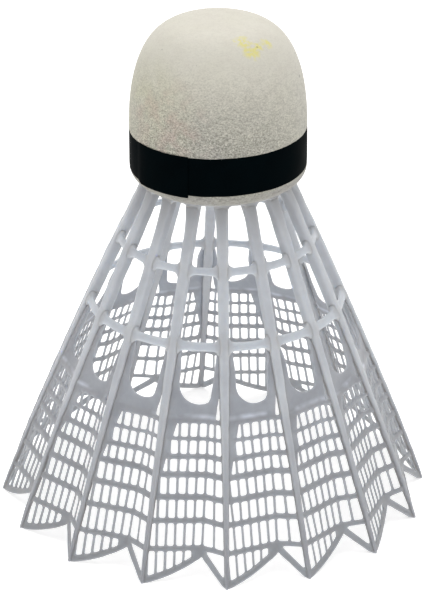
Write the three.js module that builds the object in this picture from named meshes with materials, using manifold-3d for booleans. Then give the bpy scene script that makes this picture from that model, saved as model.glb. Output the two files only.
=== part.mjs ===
// A synthetic badminton shuttlecock: a covered cork head with a tape band round it, on a moulded
// skirt of sixteen ribs, two hoops and sixteen pleated vanes. Millimetres, +Z up. It stands on its
// rib tips, head up, and the origin is the centre of the circle of the tips. Azimuths are measured
// from -Y towards +X, and the first rib lies at azimuth 0.
import * as THREE from "three";
import { mergeVertices } from "three/addons/utils/BufferGeometryUtils.js";
import Module from "manifold-3d";

const wasm = await Module();
wasm.setup();

const GAP = 0.3; // clearance between a vane and its ribs
const SLIM_GAP = 0.2; // clearance between pieces that fit inside one another

// Skirt cone: the outer line of the ribs
const RIB_COUNT = 16;
const RIB_PITCH = (2 * Math.PI) / RIB_COUNT;
const TIP_RADIUS = 32.04;
const SKIRT_TAPER = 0.4244; // radius lost for each millimetre of height

// Ribs: width and depth at a few heights, between which both change evenly
const RIB_TOP = 50.8;
const RIB_STATIONS = [
  { z: 0, width: 0.5, depth: 0.6 },
  { z: 5, width: 0.7, depth: 0.9 },
  { z: 22, width: 1.2, depth: 1.15 },
  { z: 42, width: 1.5, depth: 1.25 },
  { z: RIB_TOP, width: 1.6, depth: 1.25 },
];

// Hoops round the stem, behind the outer line of the ribs
const HOOP_SEGMENTS = 2 * RIB_COUNT;
const HOOP_SETBACK = 0.5;
const HOOP_DEPTH = 1.6;
const HOOP_CORNER = 0.2;
const UPPER_HOOP = { z: 42.2, height: 1.05 };
const LOWER_HOOP = { z: 32.2, height: 1.2 };

// Vanes: each panel between two ribs is folded along a valley near its second rib
const VANE_THICKNESS = 0.5;
const VANE_SETBACK = 0.25; // the ribs stand this much proud of the vanes
const VANE_TOP = LOWER_HOOP.z - LOWER_HOOP.height / 2 - SLIM_GAP;
const FOLD_DEPTH = 1.62; // at the tips; it fades out at the lower hoop
const NOTCH_HEIGHT = 3.36; // lowest point of the valley
const VANE_FOOT = 0.4; // lowest point of the vane, beside a rib's tip
const WINDOW_BOTTOM = 24.3;
const WINDOW_SIDE = 0.9; // web left between the window and the first rib
const WINDOW_CORNER = 1.6; // height over which the window's corners round off
const STRIP_WIDTH = 0.5; // strip that follows the valley up to the lower hoop
const STRIP_TOP = 27;
const SLOT_BOTTOM = 22.3;
const BORDER = 0.85; // edging along the lower rim
const BAR_HEIGHT = 0.65;
const BAR_HEIGHTS = [19.4, 16.9, 14.4, 11.5, 8.2, 4.56];
const WEB_BOTTOM = 21.6;
const STRAND_PITCH = 3.96;
const STRAND_WIDTH = 0.33;
const RIB_MARGIN = 0.4; // web left along the ribs beside the cells
const SMALLEST_CELL = 0.6;

// Hub: a flange under the head and a hollow spigot inside it
const FLANGE = { bottom: 51, top: 51.4, radius: 10.5 };
const SPIGOT = { top: 59, radius: 8, wall: 1 };

// Head
const HEAD_RADIUS = 13.03;
const HEAD_BOTTOM = 51.6;
const LOWER_EDGE_RADIUS = 2;
const DOME_START = 59.85;
const HEAD_TOP = 75.46;
const DOME_RISE_POWER = 2.14;
const DOME_ROUND_POWER = 4;
const DOME_STEPS = 8;
const EDGE_STEPS = 3;
const HEAD_SEGMENTS = 32;
const COVER_THICKNESS = 0.4;
const COVER_LIP_RADIUS = 9;

// Band: one turn of tape whose outer end laps over its start
const BAND = { bottom: 53.7, top: 59.65, inner: 13.1, thickness: 0.12 };
const LAP = { from: -62, to: -25, drop: 0.3, rise: 0.1, thickness: 0.12 }; // azimuths in degrees
const LAP_STEPS = 5;

const degrees = THREE.MathUtils.degToRad;
const interpolate = THREE.MathUtils.lerp;

function coneRadius(z) {
  return TIP_RADIUS - SKIRT_TAPER * z;
}

// Moves every vertex of a geometry to place(x, y, z).
function mapped(geometry, place) {
  const positions = geometry.attributes.position;
  for (let i = 0; i < positions.count; i++) {
    const target = place(positions.getX(i), positions.getY(i), positions.getZ(i));
    positions.setXYZ(i, ...target);
  }
  geometry.computeVertexNormals();
  return geometry;
}

function shapeOf(points) {
  return new THREE.Shape(points.map(([x, y]) => new THREE.Vector2(x, y)));
}

function turned(points, segments) {
  const profile = points.map(([radius, z]) => new THREE.Vector2(radius, z));
  return new THREE.LatheGeometry(profile, segments).rotateX(Math.PI / 2);
}

function solidOf(geometry) {
  const bare = geometry.clone();
  bare.deleteAttribute("normal");
  bare.deleteAttribute("uv");
  const merged = mergeVertices(bare, 1e-3);
  const vertProperties = merged.attributes.position.array;
  const triVerts = new Uint32Array(merged.index.array);
  return new wasm.Manifold(new wasm.Mesh({ numProp: 3, vertProperties, triVerts }));
}

function geometryOf(solid) {
  const { vertProperties, triVerts } = solid.getMesh();
  const geometry = new THREE.BufferGeometry();
  geometry.setAttribute("position", new THREE.BufferAttribute(vertProperties, 3));
  geometry.setIndex(new THREE.BufferAttribute(triVerts, 1));
  const faceted = geometry.toNonIndexed();
  faceted.computeVertexNormals();
  return faceted;
}

// ---- Ribs ----

function ribSize(z) {
  const upper = RIB_STATIONS.findIndex((station) => station.z >= z);
  const b = RIB_STATIONS[Math.max(upper, 1)];
  const a = RIB_STATIONS[Math.max(upper, 1) - 1];
  const t = (z - a.z) / (b.z - a.z);
  return { width: interpolate(a.width, b.width, t), depth: interpolate(a.depth, b.depth, t) };
}

// A rib at azimuth 0, grown on its sides and its back by a clearance.
function ribGeometry(clearance = 0) {
  const section = shapeOf([[-0.5, 0], [0.5, 0], [1, 0.3], [1, 1], [-1, 1], [-1, 0.3]]);
  const steps = RIB_STATIONS.length - 1;
  const bar = new THREE.ExtrudeGeometry(section, { depth: steps, steps, bevelEnabled: false });
  return mapped(bar, (across, inward, step) => {
    const { z, width, depth } = RIB_STATIONS[Math.round(step)];
    const x = across * (width / 2 + clearance);
    return [x, -(coneRadius(z) - inward * (depth + clearance)), z];
  });
}

// ---- Hoops ----

function hoopGeometry({ z, height }) {
  const low = z - height / 2;
  const high = z + height / 2;
  const outer = (level) => coneRadius(level) - HOOP_SETBACK;
  const inner = outer(z) - HOOP_DEPTH;
  const profile = [
    [inner, low],
    [outer(low) - HOOP_CORNER, low],
    [outer(low + HOOP_CORNER), low + HOOP_CORNER],
    [outer(high - HOOP_CORNER), high - HOOP_CORNER],
    [outer(high) - HOOP_CORNER, high],
    [inner, high],
    [inner, low],
  ];
  let hoop = solidOf(turned(profile, HOOP_SEGMENTS));
  const cutter = solidOf(ribGeometry(SLIM_GAP));
  for (let k = 0; k < RIB_COUNT; k++) hoop = hoop.subtract(cutter.rotate([0, 0, (360 * k) / RIB_COUNT]));
  return geometryOf(hoop);
}

// ---- Vanes ----

function around(radius, azimuth) {
  return new THREE.Vector2(radius * Math.sin(azimuth), -radius * Math.cos(azimuth));
}

// The valley swings from the middle of the panel towards its second rib, faster above the lattice.
function valleyAzimuth(z) {
  return degrees(15.3 + 0.055 * z + 0.33 * Math.max(0, z - WEB_BOTTOM));
}

// The plan of a panel at one height: its valley, and for each of its ribs the place, the distance
// across the rib's own direction and the width of the side that runs to it, on the outer face.
function foldAt(z) {
  const radius = coneRadius(z) - VANE_SETBACK;
  const azimuth = valleyAzimuth(z);
  const chord = (radius * Math.cos(RIB_PITCH / 2)) / Math.cos(azimuth - RIB_PITCH / 2);
  const depth = FOLD_DEPTH * Math.max(0, 1 - z / LOWER_HOOP.z);
  const valley = around(chord - depth, azimuth);
  const sideTo = (ribAzimuth) => {
    const rib = around(radius, ribAzimuth);
    const across = (chord - depth) * Math.abs(Math.sin(ribAzimuth - azimuth));
    return { rib, across, width: valley.distanceTo(rib) };
  };
  return { valley, first: sideTo(0), second: sideTo(RIB_PITCH) };
}

// How far the vane reaches from its valley towards its first (+1) or second (-1) rib.
function reach(z, side) {
  const fold = foldAt(z);
  const { width, across } = side > 0 ? fold.first : fold.second;
  return width * (1 - (ribSize(z).width / 2 + GAP) / across);
}

// Lower and upper edges of each row of cells.
function latticeRows() {
  const ceilings = [WEB_BOTTOM, ...BAR_HEIGHTS.map((z) => z - BAR_HEIGHT / 2)];
  return BAR_HEIGHTS.map((z, i) => ({ low: z + BAR_HEIGHT / 2, high: ceilings[i] }));
}

// The lower rim: a hollow curve from the first rib to the notch, a straight line to the second.
function rimHeight(x, side) {
  const share = Math.max(0, 1 - x / reach(NOTCH_HEIGHT / 2, side));
  return NOTCH_HEIGHT * (side > 0 ? 0.45 * share + 0.55 * share * share : share);
}

// Cells between strands that run parallel to the valley.
function cells(side) {
  const found = [];
  const limit = (z) => reach(z, side) - RIB_MARGIN;
  const addColumns = (low, high, outlineOf) => {
    for (let near = STRAND_WIDTH / 2; near < limit(high) - SMALLEST_CELL; near += STRAND_PITCH) {
      const far = near + STRAND_PITCH - STRAND_WIDTH;
      const isLast = far + STRAND_WIDTH > limit(high) - SMALLEST_CELL;
      const end = (z) => (isLast ? limit(z) : far);
      found.push(outlineOf(near, end, low, high).map(([x, z]) => [side * x, z]));
    }
  };
  const box = (near, end, low, high) => [[near, low], [end(low), low], [end(high), high], [near, high]];
  for (const { low, high } of latticeRows()) addColumns(low, high, box);
  const rimBarBottom = BAR_HEIGHTS.at(-1) - BAR_HEIGHT / 2;
  const aboveRim = (near, end, low, high) => {
    const start = Math.max(near, SMALLEST_CELL);
    const stop = end(high);
    const onBorder = (x) => [x, rimHeight(x, side) + BORDER];
    return [onBorder(start), onBorder((start + stop) / 2), onBorder(stop), [stop, high], [start, high]];
  };
  addColumns(rimBarBottom, rimBarBottom, aboveRim);
  return found;
}

// Points along a rib's flank from one height to another.
function flank(heights, side) {
  return heights.map((z) => [side * reach(z, side), z]);
}

function longSideOutline() {
  const rim = [0, 0.2, 0.5, 0.8].map((share) => share * reach(NOTCH_HEIGHT / 2, 1));
  const left = (z) => reach(z, 1) - WINDOW_SIDE;
  const stripEdge = (z) => Math.max(0, -reach(z, -1));
  const right = (z) => stripEdge(z) + STRIP_WIDTH;
  const sill = (share) => [interpolate(left(WINDOW_BOTTOM), right(WINDOW_BOTTOM), share), WINDOW_BOTTOM];
  return [
    ...rim.map((x) => [x, rimHeight(x, 1)]),
    ...flank([VANE_FOOT, ...BAR_HEIGHTS.toReversed(), WINDOW_BOTTOM, VANE_TOP], 1),
    [left(VANE_TOP) + WINDOW_SIDE / 2, VANE_TOP],
    [left(VANE_TOP - WINDOW_CORNER), VANE_TOP - WINDOW_CORNER],
    [left(WINDOW_BOTTOM + WINDOW_CORNER), WINDOW_BOTTOM + WINDOW_CORNER],
    sill(0.3),
    sill(0.85),
    [right(WINDOW_BOTTOM + STRIP_WIDTH), WINDOW_BOTTOM + STRIP_WIDTH],
    [right(STRIP_TOP), STRIP_TOP],
    [right(VANE_TOP), VANE_TOP],
    [stripEdge(VANE_TOP), VANE_TOP],
    [0, STRIP_TOP],
    [0, WEB_BOTTOM],
  ];
}

function shortSideOutline() {
  const foot = reach(NOTCH_HEIGHT / 2, -1) / 2;
  return [
    [0, NOTCH_HEIGHT],
    [0, WEB_BOTTOM],
    [0, STRIP_TOP],
    [-STRIP_WIDTH / 2, STRIP_TOP - 1],
    [-STRIP_WIDTH / 2, SLOT_BOTTOM + STRIP_WIDTH],
    ...flank([SLOT_BOTTOM, ...BAR_HEIGHTS, VANE_FOOT], -1),
    [-foot, rimHeight(foot, -1)],
  ];
}

// The vane's two sides are drawn flat, measured from the first rib; the valley is a line there.
function valleyLine(z) {
  return -foldAt(z).first.width;
}

// A flat plate with its cells cut out.
function plateGeometry(outline, holes) {
  const slab = (points, depth) => {
    const drawn = points.map(([x, z]) => [x + valleyLine(z), z]);
    return new THREE.ExtrudeGeometry(shapeOf(drawn), { depth, bevelEnabled: false });
  };
  const cutterOf = (hole) => solidOf(slab(hole, 3 * VANE_THICKNESS).translate(0, 0, -VANE_THICKNESS));
  const plate = solidOf(slab(outline, VANE_THICKNESS));
  return geometryOf(holes.reduce((rest, hole) => rest.subtract(cutterOf(hole)), plate));
}

// The triangles of a plate without its end wall along the valley, where the other side joins it.
function openAtValley(plate) {
  const values = plate.attributes.position.array;
  const kept = [];
  for (let i = 0; i < values.length; i += 9) {
    const triangle = values.slice(i, i + 9);
    const corners = [0, 3, 6].map((k) => triangle.slice(k, k + 3));
    const onValley = corners.every(([x, z]) => Math.abs(x - valleyLine(z)) < 1e-4);
    const isWall = corners.some((corner) => corner[2] !== corners[0][2]);
    if (!(onValley && isWall)) kept.push(...triangle);
  }
  return kept;
}

function vaneGeometry() {
  const longSide = openAtValley(plateGeometry(longSideOutline(), cells(1)));
  const shortSide = openAtValley(plateGeometry(shortSideOutline(), cells(-1)));
  const sheet = new THREE.BufferGeometry();
  sheet.setAttribute("position", new THREE.Float32BufferAttribute([...longSide, ...shortSide], 3));
  return mapped(sheet, (drawn, z, inward) => {
    const { valley, first, second } = foldAt(z);
    const x = drawn - valleyLine(z);
    const target = x > 0 ? first : second;
    const place = valley.clone().lerp(target.rib, Math.abs(x) / target.width);
    place.setLength(place.length() - inward);
    return [place.x, place.y, z];
  });
}

// ---- Head ----

// The head's outer outline from the top down, moved inwards by an inset.
function headOutline(inset) {
  const points = [];
  const domeHeight = HEAD_TOP - DOME_START;
  for (let i = 0; i <= DOME_STEPS; i++) {
    const rise = Math.cos((Math.PI / 2) * (i / DOME_STEPS)) ** (2 / DOME_RISE_POWER);
    const round = Math.max(0, 1 - rise ** DOME_RISE_POWER) ** (1 / DOME_ROUND_POWER);
    points.push([(HEAD_RADIUS - inset) * round, DOME_START + (domeHeight - inset) * rise]);
  }
  const centre = HEAD_BOTTOM + LOWER_EDGE_RADIUS;
  const edge = LOWER_EDGE_RADIUS - inset;
  for (let i = 0; i <= EDGE_STEPS; i++) {
    const angle = (Math.PI / 2) * (i / EDGE_STEPS);
    const radius = HEAD_RADIUS - LOWER_EDGE_RADIUS + edge * Math.cos(angle);
    points.push([radius, centre - edge * Math.sin(angle)]);
  }
  return points;
}

function coverGeometry() {
  const outer = [...headOutline(0), [COVER_LIP_RADIUS, HEAD_BOTTOM]];
  const inner = [...headOutline(COVER_THICKNESS), [COVER_LIP_RADIUS, HEAD_BOTTOM + COVER_THICKNESS]];
  return turned([...inner, ...outer.reverse()], HEAD_SEGMENTS);
}

function coreGeometry() {
  const inset = COVER_THICKNESS + SLIM_GAP;
  const bore = SPIGOT.radius + SLIM_GAP;
  const outline = [[0, SPIGOT.top + SLIM_GAP], [bore, SPIGOT.top + SLIM_GAP], [bore, HEAD_BOTTOM + inset]];
  return turned([...outline, ...headOutline(inset).reverse()], HEAD_SEGMENTS);
}

// A section in (radius, height) swept round the axis between two azimuths.
function sweptGeometry(section, from, to, steps) {
  const depth = degrees(to - from);
  const bar = new THREE.ExtrudeGeometry(shapeOf(section), { depth, steps, bevelEnabled: false });
  return mapped(bar, (radius, z, turn) => {
    const place = around(radius, degrees(to) - turn);
    return [place.x, place.y, z];
  });
}

function bandGeometry() {
  const { bottom, top, inner, thickness } = BAND;
  const outer = inner + thickness;
  const profile = [[inner, bottom], [outer, bottom], [outer, top], [inner, top], [inner, bottom]];
  const ring = turned(profile, HEAD_SEGMENTS);
  const lapRadius = inner + thickness / 2;
  const lapOuter = outer + LAP.thickness;
  const lapSection = [
    [lapRadius, bottom - LAP.drop],
    [lapOuter, bottom - LAP.drop],
    [lapOuter, top + LAP.rise],
    [lapRadius, top + LAP.rise],
  ];
  const lap = sweptGeometry(lapSection, LAP.from, LAP.to, LAP_STEPS);
  return geometryOf(solidOf(ring).add(solidOf(lap)));
}

// ---- Hub ----

function hubGeometry() {
  const wallInside = SPIGOT.radius - SPIGOT.wall;
  const profile = [
    [0, SPIGOT.top - SPIGOT.wall],
    [wallInside, SPIGOT.top - SPIGOT.wall],
    [wallInside, FLANGE.bottom],
    [FLANGE.radius, FLANGE.bottom],
    [FLANGE.radius, FLANGE.top],
    [SPIGOT.radius, FLANGE.top],
    [SPIGOT.radius, SPIGOT.top],
    [0, SPIGOT.top],
  ];
  return turned(profile, HOOP_SEGMENTS);
}

// ---- Assembly ----

const nylon = { color: 0xb0b4bc, roughness: 0.42, metalness: 0 };
const cork = { color: 0xc49a6c, roughness: 0.85, metalness: 0 };
const coverSkin = { color: 0xd2ccc2, roughness: 0.75, metalness: 0 };
const blackTape = { color: 0x0c0e12, roughness: 0.5, metalness: 0 };

const group = new THREE.Group();

function addPiece(name, geometry, finish, azimuth = 0) {
  const mesh = new THREE.Mesh(geometry, new THREE.MeshStandardMaterial(finish));
  mesh.name = name;
  mesh.rotation.z = azimuth;
  group.add(mesh);
}

addPiece("head_core", coreGeometry(), cork);
addPiece("head_cover", coverGeometry(), coverSkin);
addPiece("speed_band", bandGeometry(), blackTape);
addPiece("skirt_hub", hubGeometry(), nylon);
addPiece("stem_ring_upper", hoopGeometry(UPPER_HOOP), nylon);
addPiece("stem_ring_lower", hoopGeometry(LOWER_HOOP), nylon);

const rib = ribGeometry();
const vane = vaneGeometry();
for (let k = 0; k < RIB_COUNT; k++) {
  const number = String(k + 1).padStart(2, "0");
  addPiece(`rib_${number}`, rib, nylon, k * RIB_PITCH);
  addPiece(`vane_${number}`, vane, nylon, k * RIB_PITCH);
}

export default group;
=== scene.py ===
import math

import bpy
import numpy as np
from mathutils import Matrix, Vector, noise
from mathutils.geometry import delaunay_2d_cdt


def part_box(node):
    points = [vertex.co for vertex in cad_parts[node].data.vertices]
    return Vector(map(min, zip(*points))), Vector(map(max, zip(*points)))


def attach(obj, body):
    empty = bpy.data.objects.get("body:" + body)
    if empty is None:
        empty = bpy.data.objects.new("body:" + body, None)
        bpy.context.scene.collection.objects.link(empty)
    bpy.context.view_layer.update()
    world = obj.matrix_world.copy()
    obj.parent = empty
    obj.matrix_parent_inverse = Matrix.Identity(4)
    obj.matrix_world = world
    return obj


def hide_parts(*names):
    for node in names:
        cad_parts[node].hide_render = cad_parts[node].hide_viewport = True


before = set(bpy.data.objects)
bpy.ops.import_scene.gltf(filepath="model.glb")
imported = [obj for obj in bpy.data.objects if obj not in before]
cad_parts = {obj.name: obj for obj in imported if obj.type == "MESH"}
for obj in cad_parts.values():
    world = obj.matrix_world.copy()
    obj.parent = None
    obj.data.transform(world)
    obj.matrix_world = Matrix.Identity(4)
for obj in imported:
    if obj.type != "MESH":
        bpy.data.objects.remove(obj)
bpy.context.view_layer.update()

MM_PER_M = 1000.0
NOISE_SEED = 16

noise.seed_set(NOISE_SEED)  # unseeded, noise_vector gives other values in every run


def box_mm(node):
    """Lowest and highest corner of a CAD node in millimetres."""
    low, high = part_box(node)
    return low * MM_PER_M, high * MM_PER_M


# ---- Driving dimensions ----

RIB_COUNT = 16
RIB_PITCH = 2 * math.pi / RIB_COUNT
TIP_RADIUS = -box_mm("rib_01")[0].y
SKIRT_TAPER = 0.4244  # radius lost for each millimetre of height
RIB_TOP = box_mm("rib_01")[1].z
RIB_HEIGHTS = [0, 5, 14, 21, 27, 42, RIB_TOP]  # where a rib's width and depth are given
RIB_WIDTHS = [0.5, 0.72, 0.88, 1.12, 1.36, 1.56, 1.66]
RIB_DEPTHS = [0.5, 0.85, 1.0, 1.3, 1.6, 1.7, 1.7]

LOWER_HOOP = box_mm("stem_ring_lower")
UPPER_HOOP = box_mm("stem_ring_upper")
HOOP_SETBACK = 0.42  # how far the hoops lie behind the outer line of the ribs
HOOP_DEPTH = 0.6

LEDGE_HEIGHT = 22.7  # the vanes' webs step back above this height
LEDGE_SLOPE = 0.12
LEDGE_LEVELS = [LEDGE_HEIGHT, LEDGE_HEIGHT + LEDGE_SLOPE]

STEM_WIDENING = 0.06  # the stem is slightly out of round: this much wider along X
WIDEST_FROM = 38.0  # the widening grows from the tips up to this height
WIDENING_POWER = 0.7
STEM_LEAN = 0.0073  # and it leans slightly towards +X, by this much for each millimetre of height
WOBBLE = 0.07  # unevenness of the moulding
WOBBLE_LENGTH = 1.5
WOBBLE_FROM = 2.0  # it fades out below this height, so that the tips stay on the floor

HUB = box_mm("skirt_hub")
COVER = box_mm("head_cover")


def cone_radius(z):
    return TIP_RADIUS - SKIRT_TAPER * z


def smooth_step(t):
    t = np.clip(t, 0, 1)
    return t * t * (3 - 2 * t)


def around(radius, azimuth):
    """Plan position at a radius and an azimuth."""
    return np.stack([radius * np.sin(azimuth), -radius * np.cos(azimuth)], axis=-1)


def full_turn(steps):
    """Evenly spaced azimuths all the way round."""
    return np.arange(steps) * 2 * math.pi / steps


def upright(radius, azimuth, z):
    """Points at given radii and heights in the upright plane of one azimuth."""
    return np.column_stack([around(radius, np.full_like(radius, azimuth)), z])


def moulded(points):
    """Points of the round skirt, moved to where the slightly uneven moulding has them."""
    points = np.asarray(points, float)
    wobble = np.array([noise.noise_vector(Vector(p) / WOBBLE_LENGTH) for p in points])
    x, y, z = (points + WOBBLE * wobble * np.clip(points[:, 2:] / WOBBLE_FROM, 0, 1)).T
    widened = x * (1 + STEM_WIDENING * np.clip(z / WIDEST_FROM, 0, 1) ** WIDENING_POWER)
    return np.column_stack([widened + STEM_LEAN * z, y, z])


# ---- Mesh helpers ----


def add_object(name, points, faces, materials, body, sharp_angle=None):
    """A smooth-shaded mesh object from points in millimetres, riding on a body."""
    mesh = bpy.data.meshes.new(name)
    mesh.from_pydata((np.asarray(points, float) / MM_PER_M).tolist(), [], faces)
    mesh.update()
    mesh.shade_smooth()
    if sharp_angle is not None:
        mesh.set_sharp_from_angle(angle=math.radians(sharp_angle))
    piece = bpy.data.objects.new(name, mesh)
    bpy.context.scene.collection.objects.link(piece)
    for material in materials:
        mesh.materials.append(material)
    if body:
        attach(piece, body)
    return piece


def grid_faces(rows, columns, wrap_rows=False, wrap_columns=False):
    """Quads of a grid of points stored row by row."""
    faces = []
    for i in range(rows if wrap_rows else rows - 1):
        for j in range(columns if wrap_columns else columns - 1):
            a = i * columns + j
            b = i * columns + (j + 1) % columns
            c = (i + 1) % rows * columns + (j + 1) % columns
            d = (i + 1) % rows * columns + j
            faces.append([a, b, c, d])
    return faces


def capped_loft(rings):
    """Faces of closed rings of points, with one polygon as a cap at each end."""
    count = len(rings[0])
    last = (len(rings) - 1) * count
    faces = grid_faces(len(rings), count, wrap_columns=True)
    faces.append(list(reversed(range(count))))
    faces.append([last + i for i in range(count)])
    return faces


def turned_by(points, azimuth):
    """Points turned about the axis."""
    c, s = math.cos(azimuth), math.sin(azimuth)
    turn = np.array([[c, -s, 0], [s, c, 0], [0, 0, 1]])
    return np.asarray(points) @ turn.T


# ---- Materials ----

# Colours of the nylon: where it is clear and where it is cloudy, at the thin tips, the painted shadow
# of the head beside the hub, and the painted glint (a highlight) on the vanes' ledge
RIB_LIGHT = (0.612, 0.632, 0.66)
RIB_DARK = (0.512, 0.528, 0.56)
RIB_TIP = (0.34, 0.342, 0.362)
RIB_HEAD_SHADOW = (0.425, 0.428, 0.44)
VANE_LIGHT = (0.398, 0.397, 0.412)
VANE_DARK = (0.311, 0.310, 0.325)
VANE_TIP = (0.322, 0.320, 0.325)
VANE_GLINT_COLOUR = (0.66, 0.68, 0.74)
VANE_GLINT = 0.75
THIN_BELOW = 2.0
THICK_ABOVE = 25.0
HEAD_SHADOW_FROM = 44.5
LEDGE_GLINT_REACH = 0.45
SCATTER_DISTANCE = 0.001  # in metres
SCATTER_BALANCE = (0.9, 1.0, 1.1)

# Colours of the cover: painted light at its crown, which also lightens the nap's tufts, and painted
# shade at its foot; in the nap's hollows, on the strip below the tape, and of its clouds and marks
COVER_LIT_CROWN_AND_TUFTS = (0.80, 0.772, 0.69)
COVER_SHADED_FOOT = (0.456, 0.442, 0.381)
COVER_SHADE = (0.10, 0.098, 0.085)
COVER_FOOT = (0.28, 0.268, 0.268)
COVER_GREY = (0.36, 0.355, 0.335)
COVER_PINK = (0.58, 0.42, 0.38)
COVER_YELLOW = (0.58, 0.57, 0.38)
COVER_SPECK = (0.12, 0.11, 0.10)
SCUFF_COLOUR = (0.82, 0.75, 0.20)
STRIP_BELOW = 53.3  # the strip's colour is full below this height
STRIP_ENDS = 53.9
GRAIN_SIZE = 0.27
GREY_CLOUD = ((0.5, -13.0, 57.5), 13)  # place and reach of a cloud or a mark
PINK_CLOUD = ((-9.0, -9.5, 62.5), 9)
YELLOW_CLOUD = ((-12.0, -5.0, 62.0), 12)
ROUGH_NAP = ((-4.0, -12.5, 61.0), 17)
SCUFF_SPOTS = [  # a smear of colour near the crown, made of several spots
    ((3.4, -6.4, 74.8), 1.9),
    ((4.5, -7.7, 73.8), 1.9),
    ((5.6, -6.5, 74.2), 1.1),
    ((6.8, -5.2, 74.1), 1.3),
]

TAPE_DARK = (0.0005, 0.0018, 0.0024)
TAPE_LIGHT = (0.0009, 0.0028, 0.0036)
CORK_LIGHT = (0.56, 0.37, 0.20)
CORK_DARK = (0.36, 0.21, 0.10)
CORK_PIT = (0.14, 0.07, 0.03)
CORK_GRANULE = 1.6
FLOOR_LIGHT = (0.93, 0.93, 0.93)
FLOOR_DARK = (0.90, 0.90, 0.90)
FLOOR_GLOW = 0.5


class Nodes:
    """A few short calls for building one material's nodes, with lengths in millimetres."""

    def __init__(self, name):
        self.material = bpy.data.materials.new(name)
        self.material.use_nodes = True
        self.tree = self.material.node_tree
        self.shader = self.tree.nodes["Principled BSDF"]
        self.coordinates = self.tree.nodes.new("ShaderNodeTexCoord").outputs["Object"]

    def link(self, source, target):
        self.tree.links.new(source, target)

    def feed(self, name, source):
        """Links a value to one of the shader's own inputs."""
        self.link(source, self.shader.inputs[name])

    def set(self, **values):
        for name, value in values.items():
            self.shader.inputs[name.replace("_", " ")].default_value = value

    def stretched(self, scale):
        """Object coordinates multiplied by a scale for each axis."""
        mapping = self.tree.nodes.new("ShaderNodeMapping")
        mapping.inputs["Scale"].default_value = scale
        self.link(self.coordinates, mapping.inputs["Vector"])
        return mapping.outputs["Vector"]

    def noise(self, size, detail=4, roughness=0.55, vector=None, distortion=0):
        """Noise whose main features are about size across."""
        node = self.tree.nodes.new("ShaderNodeTexNoise")
        node.inputs["Scale"].default_value = MM_PER_M / size
        node.inputs["Detail"].default_value = detail
        node.inputs["Roughness"].default_value = roughness
        node.inputs["Distortion"].default_value = distortion
        self.link(vector or self.coordinates, node.inputs["Vector"])
        return node.outputs["Fac"]

    def clouds(self, size, low, high, start, end, **options):
        """Noise whose range low..high is stretched to start..end."""
        return self.ramp(self.noise(size, **options), low, high, start, end)

    def cells(self, size):
        """Scattered cells about size across."""
        node = self.tree.nodes.new("ShaderNodeTexVoronoi")
        node.inputs["Scale"].default_value = MM_PER_M / size
        self.link(self.coordinates, node.inputs["Vector"])
        return node

    def ramp(self, value, low, high, start, end):
        """The value's range low..high stretched to start..end and held there outside it."""
        node = self.tree.nodes.new("ShaderNodeMapRange")
        node.inputs["From Min"].default_value = low
        node.inputs["From Max"].default_value = high
        node.inputs["To Min"].default_value = start
        node.inputs["To Max"].default_value = end
        self.link(value, node.inputs["Value"])
        return node.outputs["Result"]

    def math(self, operation, a, b=0):
        node = self.tree.nodes.new("ShaderNodeMath")
        node.operation = operation
        for value, socket in ((a, node.inputs[0]), (b, node.inputs[1])):
            if isinstance(value, (int, float)):
                socket.default_value = value
            else:
                self.link(value, socket)
        return node.outputs["Value"]

    def times(self, a, b):
        return self.math("MULTIPLY", a, b)

    def mix(self, factor, a, b):
        """Two colours mixed by a factor; each is a tuple or a socket."""
        node = self.tree.nodes.new("ShaderNodeMix")
        node.data_type = "RGBA"
        for value, socket in ((factor, node.inputs[0]), (a, node.inputs[6]), (b, node.inputs[7])):
            if isinstance(value, tuple):
                socket.default_value = (*value, 1)
            else:
                self.link(value, socket)
        return node.outputs[2]

    def z(self):
        node = self.tree.nodes.new("ShaderNodeSeparateXYZ")
        self.link(self.coordinates, node.inputs["Vector"])
        return node.outputs["Z"]

    def height(self, low, high, start=0, end=1):
        """start below one height, end above another, even between them."""
        return self.ramp(self.z(), low / MM_PER_M, high / MM_PER_M, start, end)

    def level(self, z, reach):
        """1 at a height, falling to 0 at a reach above and below it."""
        away = self.math("ABSOLUTE", self.math("SUBTRACT", self.z(), z / MM_PER_M))
        return self.ramp(away, 0, reach / MM_PER_M, 1, 0)

    def near(self, place, reach):
        """1 at a place, falling to 0 at a reach."""
        node = self.tree.nodes.new("ShaderNodeVectorMath")
        node.operation = "DISTANCE"
        self.link(self.coordinates, node.inputs[0])
        node.inputs[1].default_value = [value / MM_PER_M for value in place]
        return self.ramp(node.outputs["Value"], 0, reach / MM_PER_M, 1, 0)

    def bump(self, height, depth, strength, before=None):
        """A bump from a height value whose range stands for a depth."""
        node = self.tree.nodes.new("ShaderNodeBump")
        node.inputs["Strength"].default_value = strength
        node.inputs["Distance"].default_value = depth / MM_PER_M
        self.link(height, node.inputs["Height"])
        if before is not None:
            self.link(before, node.inputs["Normal"])
        return node.outputs["Normal"]


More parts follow.
